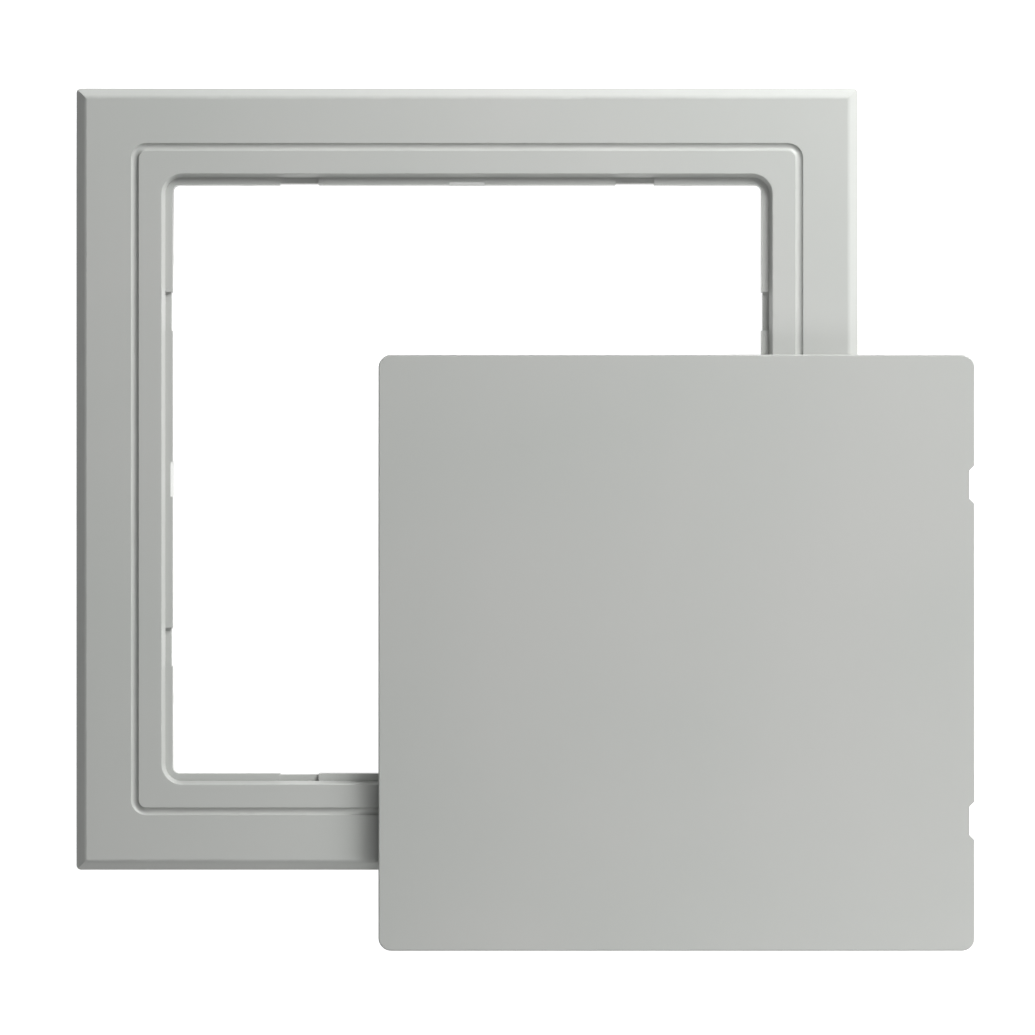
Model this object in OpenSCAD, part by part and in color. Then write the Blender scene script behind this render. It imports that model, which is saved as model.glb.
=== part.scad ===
// Moulded ceiling access panel: a square frame and a snap-in door, with the door taken off and laid on the frame.
// Millimetres. The origin is the centre of the frame on the ceiling surface, and +Z points out of the front face.

/* [Door] */
// Side of the square door
door_size = 203.2; // [160:0.1:320]
// Thickness of the door plate
door_thickness = 3; // [2.5:0.1:4]
// Radius of the door's corners
door_corner = 4.4; // [3:0.1:10]
// Radius of the door's front edge
door_edge = 0.5; // [0.3:0.1:1.2]
// Depth of the stiffening rim and ribs behind the door plate
rim_depth = 4; // [3:0.1:8]
// Thickness of the stiffening rim and ribs
rim_wall = 1.8; // [1.2:0.1:2.5]
// Distance of each stiffening rib from the door's centre line
rib_offset = 33; // [20:0.5:45]

/* [Prise notches] */
// Length of a notch at the door's edge
notch_mouth = 13.2; // [9:0.1:18]
// Depth of a notch into the door's edge
notch_depth = 1.8; // [1:0.1:2.2]
// Distance of a notch from the middle of the door's edge
notch_offset = 57.3; // [40:0.1:65]
// Depth of the channel in the throat wall that faces each notch
channel_depth = 0.4; // [0.2:0.1:1]

/* [Frame] */
// Width of the frame's border around the door
border = 31.75; // [28:0.05:45]
// Height of the front face above the ceiling
face_height = 5; // [4.5:0.1:8]
// Thickness of the moulded skin
skin = 2.4; // [1.8:0.1:2.8]
// Width of the bevel around the outside
bevel = 2.9; // [1.5:0.1:3.5]
// Radius of the soft edge between the bevel and the face
bevel_round = 2; // [0.5:0.1:3]
// Radius of the frame's outer corners
frame_corner = 1.6; // [0.6:0.1:4]
// Gap all round between the door and the frame
door_gap = 1.4; // [0.5:0.1:1.5]
// Width of the ledge that the door's back rests on
ledge_overlap = 1.1; // [0.8:0.1:2]
// Width of the sloped wall that drops from the face to the ledge
lip_run = 1.2; // [0.8:0.1:2.5]
// Radius of the sloped wall's upper edge
lip_round = 0.4; // [0.2:0.1:1]
// Depth of the throat behind the ceiling surface
throat_depth = 19; // [14:0.5:40]
// Thickness of the throat walls
throat_wall = 2.2; // [1.6:0.1:3]

/* [Groove] */
// Distance of the groove's centre from the frame's outer edge
groove_inset = 20; // [14:0.1:21]
// Width of the groove
groove_width = 2.7; // [1.5:0.1:4]
// Depth of the groove
groove_depth = 0.85; // [0.4:0.05:1.2]
// Corner radius of the groove's centre line
groove_corner = 3.9; // [3:0.1:10]

/* [Frame ribs and fixings] */
// Distance between the ribs behind the frame's border
frame_rib_pitch = 24; // [18:0.5:40]
// Thickness of the ribs behind the frame's border
frame_rib = 1.6; // [1:0.1:2.2]
// Diameter of the screw holes in the throat walls
screw_hole = 4.5; // [3:0.1:6]
// Distance of each screw hole from the middle of its side
screw_offset = 75; // [70:0.5:78]

/* [Catches] */
// Diameter of a catch's pivot pin
pin_diameter = 2; // [1.6:0.1:2.4]
// Depth of the pivot pin behind the door plate
pin_drop = 3.2; // [3:0.1:4]
// Distance of the pivot pin from the door's edge
pin_inset = 6.2; // [5.8:0.1:7]
// Width of a catch along the door's edge
catch_width = 8; // [6:0.1:10]
// Thickness of a catch's arm
catch_arm = 2; // [1.6:0.1:2.4]
// Length of a catch behind the door plate
catch_length = 12.5; // [11:0.1:14]
// Depth of a catch's hooking face behind the door plate
hook_depth = 7.6; // [7:0.1:8.4]
// Thickness of a catch's spring strip
spring_strip = 0.5; // [0.4:0.1:0.6]
// Width of a catch's spring strip
spring_width = 2.4; // [1.6:0.1:3]

/* [Layout] */
// How far right of the frame's centre the door lies
door_shift_right = 71.4; // [68:0.1:74]
// How far below the frame's centre the door lies
door_shift_down = 59.2; // [57:0.1:62]

/* [Hidden] */
$fn = 48;

// Clearances
cut = 1;
weld = 0.3;
lay_gap = 0.3;
seat_gap = 0.1;
pin_press = 0.02;
pin_running = 0.06;
side_play = 0.4;
rim_play = 0.7;
rib_short = 0.3;
tip_inset = 0.2;
window_play = 0.3;
round_ease = 0.006;

// Frame, as half sizes from its centre
door_half = door_size / 2;
frame_half = door_half + border;
recess_half = door_half + door_gap;
throat_half = door_half - ledge_overlap;
groove_half = frame_half - groove_inset;
recess_corner = door_corner + door_gap;
throat_corner = door_corner / 2;
wall_half = recess_half + skin;
ledge_z = face_height - door_thickness - seat_gap;
ledge_under = ledge_z - skin;
face_under = face_height - skin;
bevel_angle = 45;
mitre = tan(bevel_angle / 2);
lip_foot = 0.3;
lip_angle = atan2(face_height - ledge_z - lip_foot, lip_run);
lip_tangent = lip_round * tan(lip_angle / 2);
groove_radius = (groove_width * groove_width / 4 + groove_depth * groove_depth) / (2 * groove_depth);
hollow_half = frame_half - skin;
hollow_top_half = frame_half - bevel - skin * mitre;
hollow_bevel_z = face_height - bevel - skin * mitre;
rib_span = hollow_half + weld - (wall_half - weld);
rib_count = floor((throat_half - recess_corner) / frame_rib_pitch);
diagonal_inner = (wall_half - (recess_corner + skin) * (1 - cos(45))) * sqrt(2) - weld;
diagonal_outer = hollow_half * sqrt(2);
screw_z = -throat_depth * 0.62;
throat_lead = 0.8;

// Prise pockets and catch windows in the frame
pocket_length = notch_mouth;
pocket_depth = 1.2;
window_length = catch_width + 4;
window_top = ledge_z - hook_depth + window_play;
window_bottom = ledge_z - catch_length + window_play;
ramp_depth = 0.8;
ramp_end = window_top + 1;

// Door, measured from the back of its plate
rim_half = throat_half - rim_play;
rim_corner = throat_corner - rim_play / 2;
door_back_z = face_height + lay_gap + rim_depth;
notch_floor = notch_mouth - 2 * notch_depth;

// Catches, in the plane across the door's edge at the middle of its side
pin_reach = door_half - pin_inset;
lug_radius = 2.8;
lug_wall = 2;
hub_radius = pin_drop - 0.8;
tip_reach = door_half - tip_inset;
arm_outer = throat_half - 1.6;
arm_inner = arm_outer - catch_arm;
hook_slope = 0.5;
catch_half = catch_width / 2;
loop_radius = pin_drop - 0.1;
spring_room = pin_drop + 0.3;
spring_high = catch_half - 0.2;
spring_low = spring_high - spring_width;
hub_end = spring_low - side_play;
leg_sink = 0.05;
lug_near = catch_half + side_play;
lug_far = lug_near + lug_wall;
bay_half = lug_far + 2;
pin_head = 0.8;
pin_head_radius = pin_diameter * 0.8;
pin_tail = 0.6;
leg_drop = catch_length - 2.5;
leg_reach = arm_inner - spring_strip / 2 - 0.1;
rest_leg = 8;

plastic_grey = [0.69, 0.7, 0.68];
catch_white = [0.86, 0.86, 0.83];
steel_grey = [0.6, 0.61, 0.63];

// Square with rounded corners, centred
module rounded_square(half, corner) {
    square([2 * half, 2 * (half - corner)], center = true);
    square([2 * (half - corner), 2 * half], center = true);
    for (x = [-1, 1], y = [-1, 1])
        translate([x * (half - corner), y * (half - corner)])
            circle(corner);
}

// Rounded square block between two heights
module rounded_block(half, corner, low, high) {
    translate([0, 0, low])
        linear_extrude(high - low)
            rounded_square(half, corner);
}

// Carries a section round a rounded square: its x runs outward from the path and its y runs up
module carry_round(half, corner) {
    for (side = [0:3])
        rotate(90 * side) {
            translate([half, 0, 0])
                rotate([90, 0, 0])
                    linear_extrude(2 * (half - corner), center = true)
                        children();
            translate([half - corner, half - corner, 0])
                rotate_extrude(angle = 90)
                    translate([corner, 0])
                        children();
        }
}

// What rounding an edge takes away: it turns from straight above the round's centre towards one side,
// and the round is eased out a little so that it crosses the faces it joins
module edge_sliver(radius, turn) {
    reach = radius + cut;
    difference() {
        polygon([
            [0, 0],
            [0, reach],
            [reach * tan(turn / 2), reach],
            [reach * sin(turn), reach * cos(turn)]
        ]);
        circle(radius + round_ease);
    }
}

// Repeats its children on the four sides of the frame
module on_four_sides() {
    for (side = [0:3])
        rotate(90 * side)
            children();
}

// Runs a section that spans the whole frame both ways and keeps what the two runs share, which mitres its bevels
module mitred_block() {
    intersection() {
        rotate([90, 0, 0])
            linear_extrude(2 * frame_half, center = true)
                children();
        rotate([90, 0, 90])
            linear_extrude(2 * frame_half, center = true)
                children();
    }
}

// Outside of the frame's border
module border_block() {
    intersection() {
        mitred_block()
            polygon([
                [-frame_half, 0],
                [frame_half, 0],
                [frame_half, face_height - bevel],
                [frame_half - bevel, face_height],
                [-frame_half + bevel, face_height],
                [-frame_half, face_height - bevel]
            ]);
        rounded_block(frame_half, frame_corner, 0, face_height);
    }
}

// Rounds the edge where the bevel meets the face, along the four sides
module bevel_rounding() {
    on_four_sides()
        translate([frame_half - bevel - bevel_round * mitre, 0, face_height - bevel_round])
            rotate([90, 0, 0])
                linear_extrude(2 * (frame_half + cut), center = true)
                    edge_sliver(bevel_round, bevel_angle);
}

// Hollow behind the border, one skin inside its outside
module border_hollow() {
    mitred_block()
        polygon([
            [-hollow_half, -cut],
            [hollow_half, -cut],
            [hollow_half, hollow_bevel_z],
            [hollow_top_half, face_under],
            [-hollow_top_half, face_under],
            [-hollow_half, hollow_bevel_z]
        ]);
}

// Ribs that join the inner wall to the border's outer wall
module border_ribs() {
    rib_height = face_under + weld - rib_short;
    on_four_sides()
        for (i = [-rib_count:rib_count])
            translate([wall_half - weld, i * frame_rib_pitch - frame_rib / 2, rib_short])
                cube([rib_span, frame_rib, rib_height]);
    for (corner = [0:3])
        rotate(45 + 90 * corner)
            translate([diagonal_inner, -frame_rib / 2, rib_short])
                cube([diagonal_outer - diagonal_inner, frame_rib, rib_height]);
}

// Sloped wall from the ledge up to the face, with its rounded upper edge
module lip_flare() {
    edge_out = lip_run + lip_tangent;
    carry_round(recess_half, recess_corner)
        polygon([
            [-weld, ledge_z + lip_foot],
            [0, ledge_z + lip_foot],
            [lip_run + cut / tan(lip_angle), face_height + cut],
            [-weld, face_height + cut]
        ]);
    carry_round(recess_half + edge_out, recess_corner + edge_out)
        translate([0, face_height - lip_round])
            edge_sliver(lip_round, -lip_angle);
}

// Shallow groove round the face
module face_groove() {
    carry_round(groove_half, groove_corner)
        translate([0, face_height - groove_depth + groove_radius])
            circle(groove_radius);
}

// Cuts in one side of the throat: two prise pockets, each with a channel down the wall,
// a catch window with its lead-in ramp, and two screw holes
module side_cuts() {
    for (y = [-1, 1]) {
        translate([throat_half - cut, y * notch_offset - pocket_length / 2, ledge_z - pocket_depth])
            cube([recess_half - throat_half + cut, pocket_length, pocket_depth + cut]);
        translate([throat_half - cut, y * notch_offset - pocket_length / 2, -throat_depth - cut])
            cube([channel_depth + cut, pocket_length, throat_depth + ledge_z + 2 * cut]);
        translate([throat_half - cut, y * screw_offset, screw_z])
            rotate([0, 90, 0])
                cylinder(h = throat_wall + 2 * cut, d = screw_hole);
    }
    translate([throat_half - cut, -window_length / 2, window_bottom])
        cube([throat_wall + 2 * cut, window_length, window_top - window_bottom]);
    translate([0, window_length / 2, 0])
        rotate([90, 0, 0])
            linear_extrude(window_length)
                polygon([
                    [throat_half - cut, ramp_end],
                    [throat_half, ramp_end],
                    [throat_half + ramp_depth, ledge_z + weld],
                    [throat_half - cut, ledge_z + weld]
                ]);
}

module frame() {
    color(plastic_grey)
        difference() {
            union() {
                difference() {
                    border_block();
                    border_hollow();
                }
                intersection() {
                    border_ribs();
                    border_block();
                }
                rounded_block(wall_half, recess_corner + skin, ledge_under, face_under + weld);
                rounded_block(
                    throat_half + throat_wall, throat_corner + throat_wall,
                    throat_lead - throat_depth, ledge_under + weld
                );
                rounded_block(
                    throat_half + throat_wall - throat_lead, throat_corner + throat_wall - throat_lead,
                    -throat_depth, ledge_under + weld
                );
            }
            rounded_block(recess_half, recess_corner, ledge_z, face_height + cut);
            rounded_block(throat_half, throat_corner, -throat_depth - cut, face_height + cut);
            bevel_rounding();
            lip_flare();
            face_groove();
            on_four_sides()
                side_cuts();
        }
}

// Places the door's parts where the door lies
module where_door_lies() {
    translate([door_shift_right, -door_shift_down, door_back_z])
        children();
}

// Places a catch's parts on one side of the door
module on_door_side(side) {
    where_door_lies()
        rotate(side == "right" ? 0 : 180)
            children();
}

// Outline of the door with its two prise notches
module door_outline() {
    difference() {
        rounded_square(door_half, door_corner);
        for (y = [-1, 1])
            translate([door_half - notch_depth, y * notch_offset])
                polygon([
                    [0, -notch_floor / 2],
                    [notch_depth + cut, -notch_mouth / 2 - cut],
                    [notch_depth + cut, notch_mouth / 2 + cut],
                    [0, notch_floor / 2]
                ]);
    }
}

// Rounding of the door's front edge
module door_edge_cut() {
    carry_round(door_half, door_corner)
        translate([-door_edge, door_thickness - door_edge])
            edge_sliver(door_edge, 90);
}

// Stiffening rim with a bay for each catch, and crossed ribs
module door_stiffening() {
    difference() {
        rounded_block(rim_half, rim_corner, -rim_depth, weld);
        rounded_block(rim_half - rim_wall, rim_corner, -rim_depth - cut, weld + cut);
        for (turn = [0, 180])
            rotate(turn)
                translate([rim_half - rim_wall - cut, -bay_half, -rim_depth - cut])
                    cube([rim_wall + 2 * cut, 2 * bay_half, rim_depth + cut]);
    }
    for (turn = [0, 90], offset = [-rib_offset, rib_offset])
        rotate(turn)
            translate([offset - rim_wall / 2, -rim_half + weld, -rim_depth])
                cube([rim_wall, 2 * (rim_half - weld), rim_depth + weld]);
}

// Pair of lugs that carry a catch's pin
module pin_lugs() {
    for (end = [-lug_near, lug_far])
        translate([pin_reach, end, -pin_drop])
            rotate([90, 0, 0])
                linear_extrude(lug_wall)
                    difference() {
                        union() {
                            circle(lug_radius);
                            translate([-lug_radius, 0])
                                square([2 * lug_radius, pin_drop + weld]);
                        }
                        circle(pin_diameter / 2 + pin_press);
                    }
}

module door_panel() {
    color(plastic_grey)
        where_door_lies() {
            difference() {
                linear_extrude(door_thickness)
                    door_outline();
                door_edge_cut();
            }
            door_stiffening();
            for (turn = [0, 180])
                rotate(turn)
                    pin_lugs();
        }
}

// Runs a section in the plane across the door's edge from one place on a catch's width to another
module across(low, high) {
    translate([0, high, 0])
        rotate([90, 0, 0])
            linear_extrude(high - low)
                children();
}

// Round bar along a catch's pin
module along_pin(radius, low, high) {
    across(low, high)
        translate([pin_reach, -pin_drop])
            circle(radius);
}

// A catch: its hub takes part of the width, and the spring sits in the room beside it
module sprung_catch(side) {
    color(catch_white)
        on_door_side(side)
            difference() {
                union() {
                    along_pin(hub_radius, -catch_half, catch_half);
                    across(-catch_half, catch_half)
                        polygon([
                            [pin_reach, hub_radius / 2 - pin_drop],
                            [arm_outer, -pin_drop],
                            [arm_outer, -hook_depth],
                            [tip_reach, -hook_depth - hook_slope],
                            [tip_reach, -hook_depth - 2 * hook_slope],
                            [arm_outer, -catch_length],
                            [arm_inner, -catch_length],
                            [arm_inner, -hub_radius / 2 - pin_drop],
                            [pin_reach, -hub_radius / 2 - pin_drop]
                        ]);
                }
                along_pin(pin_diameter / 2 + pin_running, -catch_half - cut, catch_half + cut);
                along_pin(spring_room, hub_end, catch_half + cut);
            }
}

module catch_pin(side) {
    color(steel_grey)
        on_door_side(side) {
            along_pin(pin_head_radius, -lug_far - pin_head, -lug_far);
            along_pin(pin_diameter / 2, -lug_far, lug_far + pin_tail);
        }
}

// Straight leg that leaves the spring's loop where the loop has turned by an angle
module spring_leg(turned, length) {
    across(spring_low, spring_high)
        translate([pin_reach, -pin_drop])
            rotate(turned)
                translate([loop_radius - spring_strip, 0])
                    square([spring_strip - leg_sink, length]);
}

// Strip spring: a loop round the pin, a leg along the door plate and a leg behind the catch's arm
module catch_spring(side) {
    foot = [leg_reach - pin_reach, pin_drop - leg_drop];
    leg_line = loop_radius - spring_strip / 2;
    leg_turn = atan2(foot.y, foot.x) - acos(leg_line / norm(foot));
    color(steel_grey)
        on_door_side(side) {
            difference() {
                along_pin(loop_radius, spring_low, spring_high);
                along_pin(loop_radius - spring_strip, spring_low - cut, spring_high + cut);
            }
            spring_leg(90, rest_leg);
            spring_leg(leg_turn, sqrt(foot * foot - leg_line * leg_line));
        }
}

module catch_right() sprung_catch("right");
module catch_left() sprung_catch("left");
module catch_pin_right() catch_pin("right");
module catch_pin_left() catch_pin("left");
module catch_spring_right() catch_spring("right");
module catch_spring_left() catch_spring("left");

frame();
door_panel();
catch_right();
catch_left();
catch_pin_right();
catch_pin_left();
catch_spring_right();
catch_spring_left();
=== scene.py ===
"""Looks of the ceiling access panel: materials, floor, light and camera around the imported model."""

import math

import bmesh
import bpy
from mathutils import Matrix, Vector


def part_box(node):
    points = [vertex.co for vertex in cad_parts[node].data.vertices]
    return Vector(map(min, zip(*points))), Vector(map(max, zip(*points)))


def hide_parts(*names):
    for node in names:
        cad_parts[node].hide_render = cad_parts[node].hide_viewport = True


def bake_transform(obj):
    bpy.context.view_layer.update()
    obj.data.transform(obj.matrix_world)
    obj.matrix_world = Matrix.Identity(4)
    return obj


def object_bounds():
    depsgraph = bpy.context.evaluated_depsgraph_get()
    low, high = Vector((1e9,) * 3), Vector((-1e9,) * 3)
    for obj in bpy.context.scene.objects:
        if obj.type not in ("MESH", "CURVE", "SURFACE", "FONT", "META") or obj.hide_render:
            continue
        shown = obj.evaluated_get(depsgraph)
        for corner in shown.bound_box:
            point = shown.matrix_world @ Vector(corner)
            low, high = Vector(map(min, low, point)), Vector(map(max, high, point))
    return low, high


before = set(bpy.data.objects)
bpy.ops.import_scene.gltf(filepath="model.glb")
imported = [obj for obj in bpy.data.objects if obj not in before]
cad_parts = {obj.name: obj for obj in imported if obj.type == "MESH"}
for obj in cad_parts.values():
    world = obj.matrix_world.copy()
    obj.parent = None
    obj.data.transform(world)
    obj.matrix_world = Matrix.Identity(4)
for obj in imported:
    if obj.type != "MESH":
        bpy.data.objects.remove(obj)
cad_low, cad_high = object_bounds()

# Picture, as a square image seen from straight above the frame
IMAGE_SIDE = 1035
MM_PER_PIXEL = 0.3412
PICTURE_WIDTH = IMAGE_SIDE * MM_PER_PIXEL / 1000
CAMERA_X = 0.0172
CAMERA_Y = -0.0131
CAMERA_DISTANCE = 6.0
SENSOR = 36.0

# The panel's face, and the floor just below the throat's rear edge
FACE_Z = 0.005
FLOOR_GAP = 0.0002
FLOOR_Z = cad_low[2] - FLOOR_GAP
FLOOR_SIDE = 20.0
FLOOR_DARK = (0.4, 0.4, 0.4)
FLOOR_LIGHT = (0.44, 0.44, 0.44)
FLOOR_ROUGHNESS = 0.9
FLOOR_SPECULAR = 0.1
FLOOR_GLOW_COLOUR = (1.0, 1.0, 1.0)
FLOOR_GLOW = 0.95

# Surroundings
SKY_COLOUR = (0.97, 0.98, 1.0)
SKY_STRENGTH = 0.05

# Range of a noise's values that is spread over a tone or a gloss
NOISE_LOW = 0.3
NOISE_HIGH = 0.7

# Moulded plastic: its gloss varies by this much to either side of its roughness
PLASTIC_ROUGHNESS = 0.34
CATCH_ROUGHNESS = 0.38
GLOSS_SPREAD = 0.04
PLASTIC_SPECULAR = 0.45
PLASTIC_GRAIN = 0.00003
CATCH_GRAIN = 0.00002

# Zinc-plated steel
ZINC_DARK = (0.56, 0.57, 0.58)
ZINC_LIGHT = (0.66, 0.66, 0.65)
ZINC_GLOSSY = 0.24
ZINC_DULL = 0.4
ZINC_LINES = 0.00002

# Where a catch's spring is cut across: from where its loop ends, this far below its top,
# down to this far above its foot
SPRING_LOOP = 0.0047
SPRING_FOOT = 0.0008
SPRING_CUTS = 12
SPRING_CREASE = math.radians(30)
WELD_DISTANCE = 0.000001


def add_node(material, kind, **values):
    """Adds a shader node and sets its inputs, named with underscores for spaces."""
    node = material.node_tree.nodes.new(kind)
    for name, value in values.items():
        node.inputs[name.replace("_", " ")].default_value = value
    return node


def join(material, source, source_name, target, target_name):
    """Links an output of one shader node to an input of another."""
    material.node_tree.links.new(source.outputs[source_name], target.inputs[target_name])


def new_material(name):
    """Makes an empty node material and returns it with its surface shader."""
    material = bpy.data.materials.new(name)
    material.use_nodes = True
    return material, material.node_tree.nodes["Principled BSDF"]


def noise(material, scale, detail, roughness=0.5, stretch=(1.0, 1.0, 1.0)):
    """Noise in object space, in metres, so that its scale is in cycles a metre."""
    place = add_node(material, "ShaderNodeTexCoord")
    mapping = add_node(material, "ShaderNodeMapping", Scale=stretch)
    texture = add_node(material, "ShaderNodeTexNoise", Scale=scale, Detail=detail, Roughness=roughness)
    join(material, place, "Object", mapping, "Vector")
    join(material, mapping, "Vector", texture, "Vector")
    return texture


def spread(material, source, low, high):
    """Maps the middle of a noise's range to values from low to high."""
    span = add_node(
        material,
        "ShaderNodeMapRange",
        From_Min=NOISE_LOW,
        From_Max=NOISE_HIGH,
        To_Min=low,
        To_Max=high,
    )
    join(material, source, "Fac", span, "Value")
    return span


def blend_colours(material, source, first, second):
    """Mixes two colours by a noise."""
    ramp = add_node(material, "ShaderNodeValToRGB")
    ramp.color_ramp.elements[0].position = NOISE_LOW
    ramp.color_ramp.elements[0].color = (*first, 1.0)
    ramp.color_ramp.elements[1].position = NOISE_HIGH
    ramp.color_ramp.elements[1].color = (*second, 1.0)
    join(material, source, "Fac", ramp, "Fac")
    return ramp


def bump(material, shader, source, depth, strength):
    """Raises the surface by a noise, with depth in metres."""
    relief = add_node(material, "ShaderNodeBump", Strength=strength, Distance=depth)
    join(material, source, "Fac", relief, "Height")
    join(material, relief, "Normal", shader, "Normal")


def moulded_plastic(name, dark, light, roughness, grain_depth):
    """Moulded plastic: a slow drift of tone, patches of gloss and a fine spark-eroded grain."""
    material, shader = new_material(name)
    tone = noise(material, scale=11.0, detail=3.0)
    colour = blend_colours(material, tone, dark, light)
    join(material, colour, "Color", shader, "Base Color")
    patches = noise(material, scale=70.0, detail=4.0)
    gloss = spread(material, patches, roughness - GLOSS_SPREAD, roughness + GLOSS_SPREAD)
    join(material, gloss, "Result", shader, "Roughness")
    grain = noise(material, scale=2600.0, detail=3.0, roughness=0.6)
    bump(material, shader, grain, depth=grain_depth, strength=0.35)
    shader.inputs["Specular IOR Level"].default_value = PLASTIC_SPECULAR
    return material


def plated_steel(name):
    """Bright zinc-plated steel with drawing lines along its length."""
    material, shader = new_material(name)
    tone = noise(material, scale=260.0, detail=4.0)
    colour = blend_colours(material, tone, ZINC_DARK, ZINC_LIGHT)
    join(material, colour, "Color", shader, "Base Color")
    lines = noise(material, scale=900.0, detail=3.0, stretch=(1.0, 0.08, 1.0))
    gloss = spread(material, lines, ZINC_GLOSSY, ZINC_DULL)
    join(material, gloss, "Result", shader, "Roughness")
    bump(material, shader, lines, depth=ZINC_LINES, strength=0.4)
    shader.inputs["Metallic"].default_value = 1.0
    return material


def lit_floor():
    """Translucent white light table, lit from below, so that shadows on it stay faint."""
    material, shader = new_material("lit_floor")
    fibre = noise(material, scale=500.0, detail=4.0)
    colour = blend_colours(material, fibre, FLOOR_DARK, FLOOR_LIGHT)
    join(material, colour, "Color", shader, "Base Color")
    shader.inputs["Roughness"].default_value = FLOOR_ROUGHNESS
    shader.inputs["Specular IOR Level"].default_value = FLOOR_SPECULAR
    shader.inputs["Emission Color"].default_value = (*FLOOR_GLOW_COLOUR, 1.0)
    shader.inputs["Emission Strength"].default_value = FLOOR_GLOW
    return material


def dress(node, material):
    """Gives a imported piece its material."""
    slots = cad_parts[node].data.materials
    slots.clear()
    slots.append(material)


def add_bending_spring(side, material):
    """A catch's spring, with its leg cut across at even levels into short bands."""
    node = "catch_spring_" + side
    low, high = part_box(node)
    root = high[2] - SPRING_LOOP
    foot = low[2] + SPRING_FOOT
    shape = bmesh.new()
    shape.from_mesh(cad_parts[node].data)
    bmesh.ops.remove_doubles(shape, verts=shape.verts, dist=WELD_DISTANCE)
    for cut in range(SPRING_CUTS + 1):
        level = root + (foot - root) * cut / SPRING_CUTS
        everything = shape.verts[:] + shape.edges[:] + shape.faces[:]
        bmesh.ops.bisect_plane(shape, geom=everything, plane_co=(0, 0, level), plane_no=(0, 0, 1))
    mesh = bpy.data.meshes.new("bending_spring_" + side)
    shape.to_mesh(mesh)
    shape.free()
    mesh.shade_smooth()
    mesh.set_sharp_from_angle(angle=SPRING_CREASE)
    mesh.materials.append(material)
    spring = bpy.data.objects.new("bending_spring_" + side, mesh)
    bpy.context.scene.collection.objects.link(spring)
    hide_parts(node)
    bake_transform(spring)


def add_floor():
    """Plain pale floor under the frame's throat."""
    half = FLOOR_SIDE / 2
    mesh = bpy.data.meshes.new("floor")
    corners = [
        (-half, -half, FLOOR_Z),
        (half, -half, FLOOR_Z),
        (half, half, FLOOR_Z),
        (-half, half, FLOOR_Z),
    ]
    mesh.from_pydata(corners, [], [(0, 1, 2, 3)])
    mesh.materials.append(lit_floor())
    floor = bpy.data.objects.new("floor", mesh)
    bpy.context.scene.collection.objects.link(floor)


def add_softbox(name, place, target, size, watts):
    """Rectangular area light that faces a point, with its width and height in metres."""
    lamp = bpy.data.lights.new(name, "AREA")
    lamp.shape = "RECTANGLE"
    lamp.size = size[0]
    lamp.size_y = size[1]
    lamp.energy = watts
    light = bpy.data.objects.new(name, lamp)
    light.location = place
    light.rotation_euler = (Vector(target) - Vector(place)).to_track_quat("-Z", "Y").to_euler()
    bpy.context.scene.collection.objects.link(light)


def add_studio_light():
    """A key lamp at the upper right, two wide lamps that fill in and two small ones for the door."""
    middle = (CAMERA_X, CAMERA_Y, FACE_Z)
    door_bottom = (0.08, -0.16, 0.01)
    door_corner = (0.15, -0.14, 0.01)
    add_softbox("key_right", place=(0.5, 0.62, 0.46), target=middle, size=(0.45, 0.45), watts=13.4)
    add_softbox("overhead", place=(0.0, 0.0, 1.6), target=middle, size=(1.5, 1.5), watts=3.3)
    add_softbox("left_fill", place=(-1.5, 0.0, 0.8), target=middle, size=(1.2, 1.0), watts=1.5)
    add_softbox("door_low", place=(0.12, -0.34, 0.32), target=door_bottom, size=(0.3, 0.3), watts=0.66)
    add_softbox("door_right", place=(0.4, -0.27, 0.2), target=door_corner, size=(0.2, 0.2), watts=0.47)


def add_world():
    """Even pale surroundings."""
    world = bpy.data.worlds.new("surroundings")
    world.use_nodes = True
    background = world.node_tree.nodes["Background"]
    background.inputs["Color"].default_value = (*SKY_COLOUR, 1.0)
    background.inputs["Strength"].default_value = SKY_STRENGTH
    bpy.context.scene.world = world


def add_camera():
    """Camera straight above, far enough away that the throat's walls hardly show."""
    lens = bpy.data.cameras.new("camera")
    lens.sensor_width = SENSOR
    lens.lens = SENSOR * CAMERA_DISTANCE / PICTURE_WIDTH
    camera = bpy.data.objects.new("camera", lens)
    camera.location = (CAMERA_X, CAMERA_Y, FACE_Z + CAMERA_DISTANCE)
    bpy.context.scene.collection.objects.link(camera)
    bpy.context.scene.camera = camera


frame_plastic = moulded_plastic(
    "frame_plastic",
    dark=(0.405, 0.418, 0.4),
    light=(0.425, 0.43, 0.415),
    roughness=PLASTIC_ROUGHNESS,
    grain_depth=PLASTIC_GRAIN,
)
# The door's plastic is the frame's grey made about 8 percent darker: painted shade standing in for
# less light on the door.
door_plastic_painted_shade = moulded_plastic(
    "door_plastic_painted_shade",
    dark=(0.372, 0.383, 0.367),
    light=(0.39, 0.394, 0.38),
    roughness=PLASTIC_ROUGHNESS,
    grain_depth=PLASTIC_GRAIN,
)
white_plastic = moulded_plastic(
    "white_plastic",
    dark=(0.74, 0.74, 0.7),
    light=(0.79, 0.79, 0.76),
    roughness=CATCH_ROUGHNESS,
    grain_depth=CATCH_GRAIN,
)
zinc_steel = plated_steel("zinc_steel")

dress("frame", frame_plastic)
dress("door_panel", door_plastic_painted_shade)
for side in ("right", "left"):
    dress("catch_" + side, white_plastic)
    dress("catch_pin_" + side, zinc_steel)
    add_bending_spring(side, zinc_steel)

add_floor()
add_world()
add_studio_light()
add_camera()
bpy.context.scene.view_settings.view_transform = "Standard"
